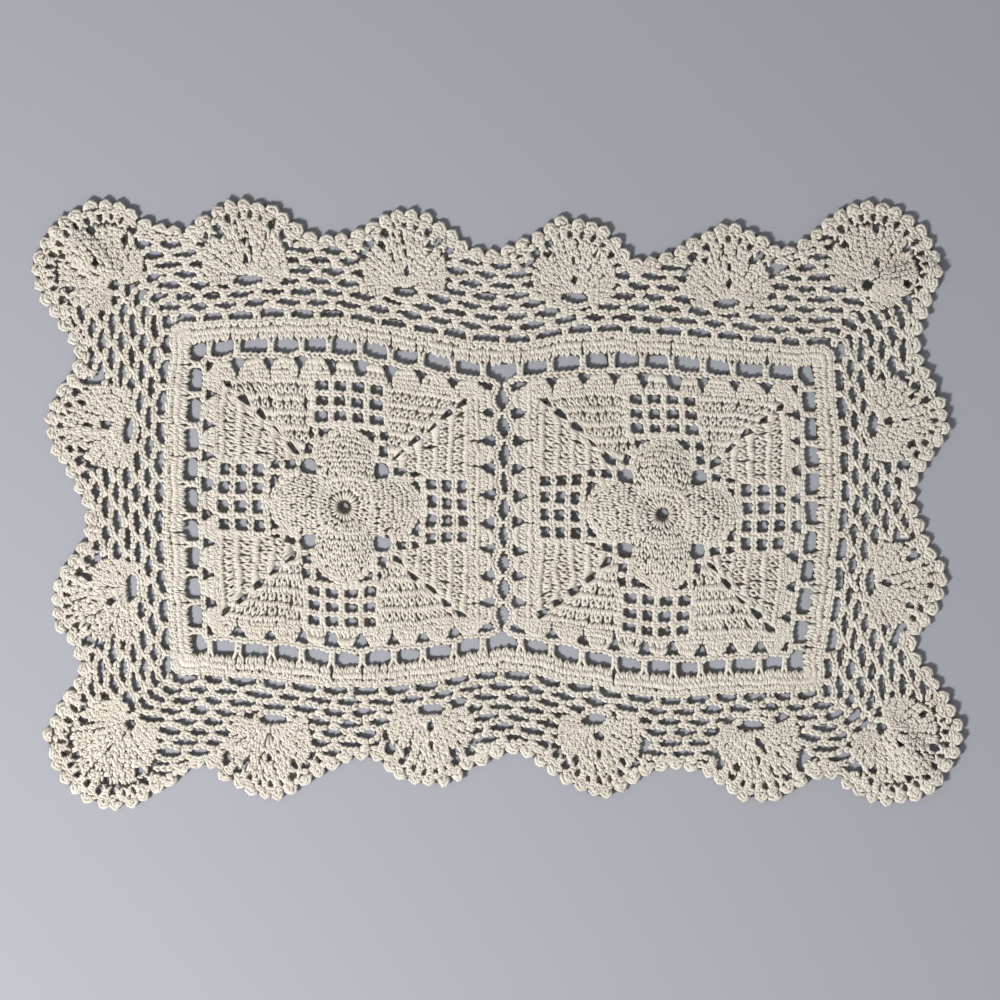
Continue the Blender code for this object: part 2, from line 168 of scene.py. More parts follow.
def lie(chart):
    """Where chart points lie: smoothly between the places in CHAIN_ROUND, and straight on outside it."""
    chart = np.asarray(chart, float)
    x = np.clip(chart[..., 0], -LENGTH, LENGTH)
    y = np.clip(chart[..., 1], -SQUARE, SQUARE)
    last = len(CHAIN_ROUND) - 2
    stretch = np.clip(np.searchsorted(CHAIN_ROUND[:, 0], x, side="right") - 1, 0, last)
    before, near, far, after = (CHAIN_ROUND[np.clip(stretch + k, 0, last + 1)] for k in (-1, 0, 1, 2))
    t = ((x - near[..., 0]) / (far[..., 0] - near[..., 0]))[..., None]
    column = through(before[..., 1:], near[..., 1:], far[..., 1:], after[..., 1:], t)
    v = y / SQUARE
    weights = np.stack([v * (v + 1) / 2, 1 - v * v, v * (v - 1) / 2], -1)
    spot_x = (weights * column[..., 0::2]).sum(-1) + chart[..., 0] - x
    spot_y = (weights * column[..., 1::2]).sum(-1) + chart[..., 1] - y
    return np.stack([spot_x, spot_y], -1)


def quarter_turns(points, quarter):
    """Points turned by quarter turns about the origin."""
    cos, sin = ((1, 0), (0, 1), (-1, 0), (0, -1))[quarter % 4]
    return np.asarray(points, float) @ np.array(((cos, sin), (-sin, cos)))


def ways(angles):
    """Unit vectors at angles in radians."""
    return np.stack([np.cos(angles), np.sin(angles)], -1)


def unit(vectors):
    """Vectors made one long."""
    return vectors / (np.linalg.norm(vectors, axis=-1, keepdims=True) + TINY)


def to_left(vectors):
    """Vectors in the plane, turned a quarter to the left."""
    return np.stack([-vectors[..., 1], vectors[..., 0]], -1)


def lengths(points):
    """How long each stretch of a line is."""
    return np.hypot(*np.diff(points, axis=0).T)


def distances(points):
    """How far along a line each of its points is."""
    return np.concatenate([[0], np.cumsum(lengths(points))])


def spots_at(points, at):
    """The spots at distances along a line."""
    run = distances(points)
    return np.stack([np.interp(at, run, points[:, k]) for k in (0, 1)], -1)


def dome(x, y, cx, cy, half_length, half_width, degrees):
    """Height from 0 to 1 of a low dome at each point."""
    cos, sin = math.cos(math.radians(degrees)), math.sin(math.radians(degrees))
    along = ((x - cx) * cos + (y - cy) * sin) / half_length
    aside = ((y - cy) * cos - (x - cx) * sin) / half_width
    return np.clip(1 - along ** 2 - aside ** 2, 0, 1)


def lift(x, y):
    """How far the cloth stands off the table at each point: a little unevenness, petals and soft folds."""
    height = 0.25 * (2 + np.sin(x / 37 + 1.3 * np.sin(y / 29)) + np.sin(y / 31 + 0.7 + 1.1 * np.sin(x / 43)))
    away, half_length, half_width, rise = PETAL_DOME
    for side in (-1, 1):
        centre = lie((side * JOIN, 0.0))
        for quarter in range(4):
            px, py = quarter_turns((away, 0.0), quarter) + centre
            height = height + rise * dome(x, y, px, py, half_length, half_width, 90 * quarter)
    for cx, cy, half_length, half_width, rise, degrees in FOLDS:
        height = height + 1.2 * rise * dome(x, y, cx, cy, 1.15 * half_length, half_width, degrees) ** 1.2
    return height


# ---------------- thread

SIDES = 4  # of a thread's tube
ENDS_IN = 0.72  # a tube's width at both ends, where it is drawn in
SLUBS = (0.93, 1.07)  # the thinnest and the thickest runs
SPOOL = 50  # where in its thread a run starts, up to this many millimetres along
UNSTEADY = 0.06  # how much the runs' heights differ, in millimetres
rng = np.random.default_rng(7)


def tubes(points, radius):
    """A closed tube round each run: corners, side and end faces, and their UVs in millimetres and turns."""
    runs, count = points.shape[:2]
    forward = unit(np.gradient(points, axis=1))
    side = unit(np.cross(forward, (0.0, 0.0, 1.0)))
    up = np.cross(side, forward)
    turn = ways(2 * np.pi * np.arange(SIDES) / SIDES)
    shape = np.ones(count)
    shape[[0, -1]] = ENDS_IN
    thick = radius * shape[None, :, None, None] * rng.uniform(*SLUBS, (runs, 1, 1, 1))
    corners = points[:, :, None] + thick * (turn[:, :1] * side[:, :, None] + turn[:, 1:] * up[:, :, None])
    steps = np.linalg.norm(np.diff(points, axis=1), axis=2)
    along = np.concatenate([np.zeros((runs, 1)), np.cumsum(steps, axis=1)], axis=1)
    along += rng.uniform(0, SPOOL, (runs, 1))

    i, j, k = np.meshgrid(np.arange(runs), np.arange(count - 1), np.arange(SIDES), indexing="ij")
    after = (k + 1) % SIDES
    first = i * count * SIDES + j * SIDES
    walls = np.stack([first + k, first + after, first + SIDES + after, first + SIDES + k], -1).reshape(-1, 4)
    near, far = along[i, j], along[i, j + 1]
    wall_uv = np.stack([np.stack([near, near, far, far], -1), np.stack([k, k + 1, k + 1, k], -1) / SIDES], -1)
    start = np.arange(runs)[:, None] * count * SIDES
    ends = np.concatenate([start + np.arange(SIDES)[::-1], start + (count - 1) * SIDES + np.arange(SIDES)])
    end_uv = np.zeros((len(ends), SIDES, 2))
    end_uv[..., 0] = np.concatenate([along[:, :1], along[:, -1:]])
    return corners.reshape(-1, 3), walls, ends, wall_uv.reshape(-1, 2), end_uv.reshape(-1, 2)


class Yarn:
    """Thread gathered for one piece: runs of points in millimetres, all the runs of a batch as long."""

    def __init__(self, radius):
        self.radius = radius
        self.batches = []

    def add(self, points, thinner):
        """points is an array of (run, point, x y z)."""
        if len(points):
            self.batches.append((points, self.radius * thinner))

    def mesh(self, name):
        """One mesh of all the tubes, each with a tone of its own."""
        parts, tones, base = [], [], 0
        for points, radius in self.batches:
            corners, walls, ends, *uvs = tubes(points, radius)
            parts.append((corners, walls + base, ends + base, *uvs))
            tones.append(np.repeat(rng.uniform(0, 1, len(points)), points.shape[1] * SIDES))
            base += len(corners)
        corners, walls, ends, *uvs = (np.concatenate(part) for part in zip(*parts))
        starts = np.concatenate([np.arange(len(walls)) * 4, walls.size + np.arange(len(ends)) * SIDES])
        mesh = bpy.data.meshes.new(name)
        mesh.vertices.add(len(corners))
        mesh.vertices.foreach_set("co", (corners * MM).ravel())
        mesh.loops.add(walls.size + ends.size)
        mesh.loops.foreach_set("vertex_index", np.concatenate([walls.ravel(), ends.ravel()]).astype(np.int32))
        mesh.polygons.add(len(starts))
        mesh.polygons.foreach_set("loop_start", starts.astype(np.int32))
        mesh.polygons.foreach_set("use_smooth", np.ones(len(starts), bool))
        mesh.update(calc_edges=True)
        layer = mesh.uv_layers.new(name="UVMap")
        layer.uv.foreach_set("vector", np.concatenate(uvs).ravel())
        tone = mesh.attributes.new("tone", "FLOAT", "POINT")
        tone.data.foreach_set("value", np.concatenate(tones))
        mesh.validate()
        return mesh


# Stitches. Each is a few strands that cross a cell: u across it and v up it from 0 to 1, and the height of
# the strand's middle over the table in millimetres.

def both_sides(*strand):
    """A strand, and the same one mirrored across the cell."""
    return strand, tuple((1 - u, v, height) for u, v, height in strand)


TREBLE = (
    ((0.50, -0.14, 1.1), (0.17, 0.13, 1.9), (0.25, 0.46, 1.2)),
    ((0.50, -0.14, 1.1), (0.85, 0.15, 1.8), (0.75, 0.48, 1.2)),
    ((0.28, 0.22, 1.3), (0.52, 0.37, 2.1), (0.74, 0.56, 1.3)),
    ((0.28, 0.50, 1.2), (0.08, 0.74, 2.0), (0.00, 1.00, 1.3)),
    ((0.28, 0.50, 1.2), (0.40, 0.76, 2.0), (0.46, 1.02, 1.3)),
    ((0.72, 0.50, 1.2), (0.60, 0.76, 2.0), (0.54, 1.02, 1.3)),
    ((0.72, 0.50, 1.2), (0.90, 0.74, 2.0), (1.00, 1.00, 1.3)),
)
DENSE = (
    ((0.46, -0.14, 1.1), (0.18, 0.14, 2.0), (0.10, 0.46, 1.2)),
    ((0.54, -0.14, 1.1), (0.82, 0.16, 1.9), (0.88, 0.48, 1.2)),
    ((0.50, 0.02, 1.2), (0.42, 0.30, 2.1), (0.56, 0.60, 1.3)),
    ((0.24, 0.34, 1.2), (0.10, 0.68, 2.1), (0.00, 1.00, 1.3)),
    ((0.40, 0.46, 1.2), (0.30, 0.74, 2.0), (0.36, 1.04, 1.3)),
    ((0.60, 0.44, 1.2), (0.72, 0.74, 2.1), (0.68, 1.04, 1.3)),
    ((0.80, 0.36, 1.2), (0.92, 0.70, 2.0), (1.02, 1.00, 1.3)),
)
CLUSTER = (
    ((0.50, -0.12, 1.1), (0.22, 0.10, 1.9), (0.18, 0.36, 1.2)),
    ((0.54, -0.10, 1.1), (0.78, 0.12, 1.8), (0.78, 0.38, 1.2)),
    ((0.44, 0.04, 1.2), (0.48, 0.26, 2.1), (0.56, 0.50, 1.3)),
    ((0.04, 0.34, 1.3), (0.36, 0.46, 2.2), (0.72, 0.58, 1.3)),
    ((0.16, 0.50, 1.2), (0.14, 0.76, 2.1), (0.06, 1.02, 1.3)),
    ((0.52, 0.48, 1.3), (0.44, 0.76, 2.2), (0.40, 1.04, 1.3)),
    ((0.56, 0.84, 1.3), (0.74, 0.68, 2.2), (0.98, 0.52, 1.3)),
)
VEE = both_sides((0.50, -0.24, 1.2), (0.20, 0.28, 2.0), (0.04, 0.92, 1.3))
RAY = (
    ((0.50, -0.05, 1.1), (0.46, 0.30, 1.7), (0.54, 0.66, 1.8), (0.50, 1.02, 1.2)),
)
CHAIN = (
    ((-0.20, 0.56, 0.9), (0.14, 0.31, 1.7), (0.56, 0.08, 2.0), (1.04, 0.42, 1.2)),
    ((-0.20, 0.44, 0.9), (0.14, 0.69, 1.7), (0.56, 0.92, 2.0), (1.04, 0.58, 1.2)),
)
KNOT = (
    *both_sides((0.36, -0.30, 2.0), (0.24, 0.10, 1.9), (0.26, 0.50, 1.5), (0.42, 1.00, 1.3)),
    ((0.00, 0.46, 1.4), (0.32, 0.42, 2.3), (0.68, 0.58, 2.4), (1.00, 0.82, 1.5)),
)
POST = (
    *both_sides(
        (0.02, -0.16, 1.7), (0.30, 0.14, 1.6), (0.32, 0.48, 1.5), (0.28, 0.80, 1.6), (-0.04, 1.12, 1.6)),
    ((0.12, 0.16, 1.5), (0.50, 0.28, 2.2), (0.88, 0.42, 1.4)),
    ((0.10, 0.52, 1.3), (0.48, 0.60, 2.1), (0.88, 0.74, 1.4)),
)
PICOT_STITCH = (
    ((-0.02, 0.02, 1.2), (0.14, 0.60, 2.0), (0.48, 0.98, 1.9), (0.82, 0.72, 1.4)),
    ((1.02, 0.00, 1.2), (0.92, 0.48, 1.9), (0.62, 0.88, 1.8), (0.34, 0.86, 1.3)),
    ((0.24, -0.08, 1.3), (0.32, 0.36, 2.4), (0.64, 0.68, 1.6)),
    ((0.74, -0.08, 1.3), (0.66, 0.30, 2.3), (0.34, 0.60, 1.6)),
    ((0.04, 0.02, 1.2), (0.26, 0.18, 2.0), (0.56, 0.06, 1.3)),
    ((0.46, 0.12, 1.2), (0.74, 0.22, 2.1), (1.02, 0.06, 1.3)),
)


def work(yarn, stitch, cells, at=(0, 0.0), on_chart=True, loose=0.2, eyelets=(), thinner=1.0):
    """Work one stitch into each cell: an array of (cell, corner, x y), corners anticlockwise from low left.

    at is how many quarter turns the cells are turned, and then how far they are moved.
    """
    if not len(cells):
        return
    cells = quarter_turns(cells, at[0]) + at[1]
    drift = rng.normal(0, loose, (len(cells), 1, 2))
    for strand in stitch:
        u, v, height = np.array(strand).T
        share = np.stack([(1 - u) * (1 - v), u * (1 - v), u * v, (1 - u) * v], -1)
        spots = np.einsum("pk,nkc->npc", share, cells)
        spots = spots + drift + rng.normal(0, loose * 0.6, spots.shape)
        if on_chart:
            spots = lie(spots)
        spots = spots + wander(spots)
        if len(eyelets):
            spots = opened(spots, eyelets)
        stand = height + lift(spots[..., 0], spots[..., 1]) + rng.normal(0, UNSTEADY, (len(spots), 1))
        yarn.add(np.concatenate([spots - MIDDLE, stand[..., None]], -1), thinner)


def wander(spots):
    """The small unevenness of hand work: no row is quite straight."""
    x, y = spots[..., 0], spots[..., 1]
    aside = np.sin(x / 5.3 + 2.1 * np.sin(y / 11.0)) + 0.8 * np.sin(y / 4.1 + 1.7 * np.sin(x / 9.0))
    along = np.sin(y / 5.7 + 1.9 * np.sin(x / 10.0) + 1.0)
    along = along + 0.8 * np.sin(x / 4.5 + 2.2 * np.sin(y / 8.3) + 2.0)
    return 0.28 * np.stack([aside, along], -1)


def opened(spots, eyelets):
    """Strands pushed aside round each eyelet (x, y, radius), without the ones that cross its middle."""
    middles = spots.mean(axis=1)
    kept = np.ones(len(spots), bool)
    moved = spots.copy()
    for x, y, radius in eyelets:
        reach = 2.6 * radius
        kept &= np.hypot(middles[:, 0] - x, middles[:, 1] - y) > 0.6 * radius
        away = spots - (x, y)
        far = np.hypot(away[..., 0], away[..., 1])
        push = radius + far * (reach - radius) / reach
        scale = np.where(far < reach, push / np.maximum(far, 0.05), 1.0)
        moved = np.where((far < reach)[..., None], away * scale[..., None] + (x, y), moved)
    return moved[kept]


def between(inner, outer):
    """Cells side by side between two lines that have as many points."""
    inner, outer = np.asarray(inner, float), np.asarray(outer, float)
    return np.stack([inner[:-1], inner[1:], outer[1:], outer[:-1]], 1)


def upright(low, high, half):
    """A cell from each low spot to its high one; half is half its width, as a vector."""
    return np.stack([low - half, low + half, high + half, high - half], 1)


def turned_over(cells):
    """The same cells with their left and right changed over, as cells that were mirrored need."""
    return cells[:, (1, 0, 3, 2)]


def chain(yarn, points, wide=2.4, link=3.0, **how):
    """Work a chain that follows a line of points."""
    points = np.asarray(points, float)
    run = distances(points)[-1]
    middle = spots_at(points, np.linspace(0, run, max(1, round(run / link)) + 1))
    aside = to_left(unit(np.gradient(middle, axis=0))) * wide / 2
    work(yarn, CHAIN, between(middle - aside, middle + aside), **how)


# ---------------- the flower squares

def petal_line(y, count):
    """A line across a petal, y out from the eye, that bows back towards its sides."""
    half = np.interp(y, PETAL_ROWS, PETAL_WIDTHS)
    x = np.linspace(-half, half, count + 1)
    bow = np.interp(y, *zip(*PETAL_BOWS)) * half
    return np.stack([x, y - bow * (x / half) ** 2], -1)


def leaf_cells(inner, outer, side):
    """One half of a leaf in one round: straight trebles, then some that fan out of the corner."""
    start = side * np.interp(inner, ROUNDS[:3], LEAF_STARTS[side])
    tilt = LEAN / 3
    corner_in, corner_out = side * (inner - 1.0) + tilt, side * (outer - 1.7) + tilt
    count = max(2, round(abs(corner_out - start) / LEAF_STITCH))
    step = np.arange(count + 1)
    reach = abs(corner_in - start)
    along = np.minimum(step * LEAF_FOOT, reach - 0.6 * (1 - step / count))
    bottoms, tops = start + side * along, np.linspace(start, corner_out, count + 1)
    close_in = 1.2 * np.clip(1 - (reach - along) / 6, 0, 1)
    low = np.stack([bottoms, inner - close_in - side * tilt * (abs(bottoms) - 18) / (inner - 15)], -1)
    high = np.stack([tops, outer - side * tilt * (abs(tops) - 18) / (outer - 15)], -1)
    cells = between(low, high)
    return cells if side > 0 else turned_over(cells)


def hump(station, long_side, joins):
    """The stitch and the rows of cells of a hump under one loop of the chain round; some are open work."""
    over_filet = abs(station - LEAN) < FILET_WIDE
    # Each line across the hump: half its width, how far out it is, and how far it bows.
    if joins:
        stitch, lines = TREBLE, [(7.6, 60.8, 0.0), (6.9, 66.3, 0.2), (3.3, JOIN_HUMP, 0.9)]
    elif over_filet:
        stitch, lines = TREBLE, [(6.6, 61.0, 0.0), (3.1, HUMP, 1.0)]
    else:
        stitch, lines = DENSE, [(7.6, 60.6, 0.0), (6.7, 62.9 if long_side else 64.6, 0.0), (3.2, HUMP, 0.8)]
    across = np.linspace(-1, 1, 5 if over_filet else 6)
    rows = [np.stack([station + half * across, up - bow * across ** 2], -1) for half, up, bow in lines]
    return stitch, [between(low, high) for low, high in zip(rows[:-1], rows[1:])]


def diagonal_eyelets(centre):
    """The holes along a square's diagonals, as they lie: x, y, radius."""
    aside = LEAN / 3
    return [(*lie(quarter_turns((away + aside, away - aside), quarter) + centre), radius)
            for quarter in range(4) for away, radius in DIAGONAL]


def flower(yarn, centre, eyelets):
    """The ring round the eye, the close rounds outside it, and the four petals."""
    turn = ways(np.linspace(0, 2 * np.pi, RAYS + 1))[::-1]
    work(yarn, RAY, between(turn * (EYE + 1.0), turn * (RING + 0.3)), (0, centre), loose=0.1, thinner=0.78)
    for radius in np.arange(RING + 1.0, 15.0, CLOSE_ROW):
        turn = ways(np.linspace(0, -2 * np.pi, round(2 * np.pi * radius / CLOSE_STITCH) + 1))
        cells = between(turn * radius, turn * (radius + CLOSE_ROW))
        work(yarn, VEE, cells, (0, centre), loose=0.3, thinner=CLOSE_THREAD)
    side = np.array(((15.4, 22.0), (15.2, 26.5), (13.6, 30.4)))
    edge = np.vstack([side * (-1, 1), petal_line(PETAL_ROWS[-1], 8) + (0, 0.3), side[::-1]])
    for quarter in range(4):
        for low in np.arange(12.4, PETAL_ROWS[-1] - 0.5, CLOSE_ROW):
            count = round(2 * np.interp(low, PETAL_ROWS, PETAL_WIDTHS) / CLOSE_STITCH)
            cells = between(petal_line(low, count), petal_line(low + CLOSE_ROW, count))
            work(yarn, VEE, cells, (quarter, centre), loose=0.38, eyelets=eyelets, thinner=CLOSE_THREAD)
        chain(yarn, edge, 2.2, at=(quarter, centre), eyelets=eyelets)


def lower_round(yarn, at, eyelets):
    """The chain that runs round a petal, and the short bars that tie it to the leaves."""
    ring = [(20.5, 38.4), (13.0, 38.2), (6.0, 39.4), (0.0, 39.8), (-6.0, 39.2), (-11.5, 38.0), (-16.3, 38.4)]
    bars = [[(14.6, 31.4), (21.0, 31.0)], [(15.0, 23.4), (22.4, 23.4)], [(15.6, 22.6), (16.2, 37.6)],
            [(-14.8, 31.2), (-18.0, 30.8)], [(-15.2, 23.4), (-20.6, 23.2)], [(-14.6, 22.6), (-14.4, 37.4)]]
    for points in [ring, *bars]:
        chain(yarn, points, at=at, eyelets=eyelets)


def filet(yarn, at):
    """The square net between two leaves: posts, with a chain over each round of them."""
    for inner, outer in zip(ROUNDS[2:-1], ROUNDS[3:]):
        for x in FILET_POSTS:
            work(yarn, POST, upright(np.array([(x, inner + 0.4)]), np.array([(x, outer)]), (1.9, 0.0)), at)
    for edge in ROUNDS[2:]:
        chain(yarn, [(FILET_POSTS[0], edge), (LEAN, edge + 0.5), (FILET_POSTS[-1], edge)], 2.6, at=at)


def leaves(yarn, at, joins, eyelets):
    """Both half leaves of one side, the chain round their corner, and the humps outside them."""
    aside = LEAN / 3
    for inner, outer in zip(ROUNDS[:-1], ROUNDS[1:]):
        for side in (1, -1):
            work(yarn, TREBLE, leaf_cells(inner, outer, side), at, loose=0.32, eyelets=eyelets, thinner=0.9)
        end = outer - 0.2
        corner = [(end - 2.6, end + 0.2), (end + aside, end - aside), (end + 0.6, end - 2.8)]
        chain(yarn, corner, 2.0, at=at, eyelets=eyelets)
    for station in STATIONS:
        stitch, rows = hump(station, at[0] % 2, joins)
        for cells in rows:
            work(yarn, stitch, cells, at, loose=0.34)


def chain_round_path():
    """The chain round's line along one side of a square, sagging between posts."""
    points = [(-SQUARE, SQUARE)]
    for post in POSTS[:-1]:
        middle = post + LOOP / 2
        points += [(post, SQUARE), (middle - 1.5, SQUARE - 1.3), (middle + 2.0, SQUARE - 1.2)]
    return [*points, (POSTS[-1], SQUARE), (SQUARE, SQUARE)]


def joining_edge(yarn, side):
    """Where a square meets the other: the arches that leave diamonds open, and a knot between each two."""
    for y, half in zip(STATIONS, DIAMONDS):
        wide = 1.7 + DIAMOND_SLENDER * half * 0.8
        arch = np.array(((2.3, LOOP / 2), (2.9, half), (wide, half * 0.45),
                         (wide, -half * 0.45), (2.9, -half), (2.3, -LOOP / 2)))
        chain(yarn, arch * (side, 1) + (0, y), 3.0, 2.9)
        if side < 0 and y < STATIONS[-1]:
            knot = np.array(((-3.4, y + LOOP / 2 - 1.5), (3.4, y + LOOP / 2 - 1.5)))
            work(yarn, KNOT, between(knot, knot + (0, 3.0)))
    for end in (-1, 1):
        chain(yarn, [(side * 5.5, end * SQUARE), (side * 0.9, end * (SQUARE - 3.6))], 2.5, 2.9)


def flower_square(yarn, side):
    """One flower square, to the west (side -1) or the east (side 1)."""
    centre = np.array((side * JOIN, 0.0))
    eyelets = diagonal_eyelets(centre)
    flower(yarn, centre, eyelets)
    for quarter in range(4):
        at, joins = (quarter, centre), quarter == (3 if side < 0 else 1)
        lower_round(yarn, at, eyelets)
        filet(yarn, at)
        leaves(yarn, at, joins, eyelets)
        if not joins:
            chain(yarn, chain_round_path(), 2.8, 2.9, at=at)
    joining_edge(yarn, side)


# ---------------- the border

def windows_and_band(yarn):
    """The open windows' posts, the close band of trebles, and the row of close stitches that edges it."""
    for quarter, edge, reach in BORDER_SIDES:
        posts = POSTS if quarter % 2 else np.concatenate([POSTS - JOIN, POSTS + JOIN])
        low, high = edge + 0.2, edge + WINDOW + 0.6
        cells = [[(x - 2.0, low), (x + 2.0, low), (x + 2.1, high), (x - 2.1, high)] for x in posts]
        work(yarn, POST, cells, (quarter, 0.0))
        stops, gap = [-(reach + WINDOW), *posts, reach + WINDOW], 0.35
        for start, end in zip(stops[:-1], stops[1:]):
            x = np.linspace(start + gap, end - gap, max(1, round((end - start) / BAND_STITCH)) + 1)
            foot, head, rim_line = (np.stack([x, np.full_like(x, edge + up)], -1)
                                    for up in (WINDOW + 0.8, BAND_ROW, BAND))
            work(yarn, DENSE, between(foot, head), (quarter, 0.0), loose=0.36, thinner=0.9)
            work(yarn, VEE, between(head + (0, 0.4), rim_line), (quarter, 0.0), loose=0.34)
        far, up = reach + WINDOW + 1.5, edge + BAND - 0.7
        chain(yarn, [(-far, up), (far, up)], 2.2, at=(quarter, 0.0))
    corner_fans(yarn)


def corner_fans(yarn):
    """The band's corners, whose stitches turn round the corner windows."""
    centre = np.array((LENGTH + WINDOW, SQUARE + WINDOW))
    turn = ways(np.linspace(0, np.pi / 2, 8))[::-1]
    square_off = 1 / np.maximum(turn.max(axis=1, keepdims=True), 0.86)
    radii = (1.0, BAND_ROW - WINDOW + 0.3, BAND - WINDOW)
    foot, head, rim_line = (turn * radius * square_off + centre for radius in radii)
    for mirror in ((-1, -1), (-1, 1), (1, -1), (1, 1)):
        for stitch, low, high in ((DENSE, foot, head), (VEE, head, rim_line)):
            cells = between(low, high) * mirror
            work(yarn, stitch, cells if mirror[0] == mirror[1] else turned_over(cells), loose=0.18)
        chain(yarn, (rim_line - 0.7 * turn) * mirror, 2.2, loose=0.24)


# ---------------- where the shells, the rim and the net are

class Shell:
    """Where one shell is: its middle, its root, the ways ahead and aside, and how far round its fan goes."""

    def __init__(self, name, x, y, root_x, root_y, facing, half_span, dip_x, dip_y):
        self.name, self.half_span = name, half_span
        self.centre, self.root, self.dip = np.array(((x, y), (root_x, root_y), (dip_x, dip_y)))
        self.facing = math.radians(facing)
        self.ahead = ways(self.facing)
        self.aside = -to_left(self.ahead)
        self.corner = half_span > 60
        self.span = 128 if self.corner else 97

    def way(self, angle):
        """Unit vectors at angles from straight ahead."""
        return np.cos(angle)[..., None] * self.ahead + np.sin(angle)[..., None] * self.aside

    def reach(self, angle):
        """How far the close part reaches from the root; at the corners it is a little larger."""
        radius = CLOSE_PART + (2.8 * np.sin(angle) ** 2 - 1.0 if self.corner else 0.0)
        offset = self.centre - self.root
        along = self.way(angle) @ offset
        return along + np.sqrt(np.maximum(radius ** 2 - (offset @ offset - along ** 2), 1.0))


SHELL_PLACES = [Shell(*row) for row in SHELLS]


def rim_knots():
    """Points round the doily's outer edge as it lies: an arc round each shell, and the dip after it."""
    knots = []
    for place in SHELL_PLACES:
        steps = 6 if place.corner else 3
        for i in range(steps + 1):
            off = math.radians(place.half_span * (1 - 2 * i / steps))
            radius = CORNER_SHELL[0] + CORNER_SHELL[1] * math.sin(off) ** 2 if place.corner else SHELL
            knots.append(place.centre + radius * ways(place.facing + off))
        knots.append(place.dip)
    return np.array(knots)


def rim():
    """The rim at an even spacing, two points to a picot, clockwise, and which way is out at each."""
    knots = rim_knots()
    before, start, end, after = (np.roll(knots, 1 - k, axis=0) for k in range(4))
    t = (np.arange(24) / 24)[None, :, None]
    fine = through(before[:, None], start[:, None], end[:, None], after[:, None], t).reshape(-1, 2)
    closed = np.vstack([fine, fine[:1]])
    run = distances(closed)[-1]
    ring = spots_at(closed, np.linspace(0, run, 2 * round(run / PICOT), endpoint=False))
    return ring, to_left(unit(np.roll(ring, -1, axis=0) - np.roll(ring, 1, axis=0)))


def depth_inside(spots, ring, out):
    """How deep inside the rim each spot is, in millimetres; negative outside."""
    away = spots[:, None] - ring[None]
    squared = (away ** 2).sum(-1)
    nearest, rows = squared.argmin(1), np.arange(len(spots))
    side = -(away[rows, nearest] * out[nearest]).sum(-1)
    return np.sign(side) * np.sqrt(squared[rows, nearest])


def net_round(row):
    """One round of the net on the chart: a closed line of points, and how far along it each knot is."""
    out = NET_START + NET_ROW * row
    points, marks, run = [], [], 0.0
    bend = np.linspace(0, np.pi / 2, 13)[1:]
    turn = np.stack([-np.sin(bend) ** 0.7, np.cos(bend) ** 0.7], -1)
    for quarter, edge, reach in BORDER_SIDES:
        start = reach + NET_CORNER
        corner = np.array((-start, edge + NET_CORNER)) + (out - NET_CORNER) * turn
        knots = LOOP * (np.arange(14, -15, -1) + 0.5 * ((row + quarter) % 2) + 0.25 * (quarter % 2))
        knots = knots[np.abs(knots) < start - 1.0]
        marks.append(run + start - knots)
        side = np.vstack([(start, edge + out), (-start, edge + out), corner])
        points.append(quarter_turns(side[:-1], quarter))
        run += lengths(side).sum()
    at = []
    for knots, ahead in zip(marks, [*marks[1:], run + marks[0]]):
        loops = max(1, round((ahead[0] - knots[-1]) / LOOP))
        at += [knots, np.linspace(knots[-1], ahead[0], loops + 1)[1:-1]]
    return np.vstack([*points, points[0][:1]]), np.sort(np.concatenate(at) % run)


def along_line(points, at):
    """Points at distances along a line, and the way to its right at each."""
    return spots_at(points, at), -to_left(unit(spots_at(points, at + 0.7) - spots_at(points, at - 0.7)))


def on_shell(spots):
    """Which spots are on a shell, so that the net stops there."""
    found = np.zeros(len(spots), bool)
    for place in SHELL_PLACES:
        away, from_centre = spots - place.root, spots - place.centre
        angle = np.arctan2(away @ place.aside, away @ place.ahead)
        far = np.hypot(*away.T)
        found |= (np.abs(angle) < math.radians(place.span)) & (far < place.reach(angle) - 0.8)
        found |= far < 6.0
        belt = np.hypot(*from_centre.T) < CLOSE_PART + 4.4
        found |= belt & (from_centre @ place.ahead > (-6 if place.corner else 5))
    return found


def net(yarns, ring, out_ways):
    """The diamond net: rounds of chain loops, each knotted to the middle of a loop of the round before it."""
    for row in range(NET_ROUNDS):
        points, knots = net_round(row)
        total = lengths(points).sum()
        ends = np.append(knots[1:], knots[0] + total)
        share = np.arange(5) / 5
        at = (knots[:, None] + (ends - knots)[:, None] * share).ravel()
        pull = np.tile(np.interp(share, (0, 0.5, 1), (0, 1, 0)), len(knots))
        spots, out = along_line(points, at % total)
        spots = spots + out * (pull * (PULL + 0.4 * (1 - abs(out[:, 1]))))[:, None]
        spots = np.vstack([spots, spots[:1]])
        aside = to_left(unit(np.diff(spots, axis=0))) * LINK
        links = np.stack([spots[:-1] - aside, spots[1:] - aside, spots[1:] + aside, spots[:-1] + aside], 1)
        feet, away = along_line(points, knots)
        bars = upright(feet - away * 3.3, feet + away * 0.7, -to_left(away) * 1.9)
        for stitch, cells in ((CHAIN, links), (KNOT, bars)):
            middle = lie(cells).mean(axis=1)
            clear = ~on_shell(middle) & (depth_inside(middle, ring, out_ways) > 3.4)
            north = middle[:, 1] > 0
            for yarn, mine in zip(yarns, (north, ~north)):
                work(yarn, stitch, cells[clear & mine], loose=0.28)


# ---------------- the shells and the picots

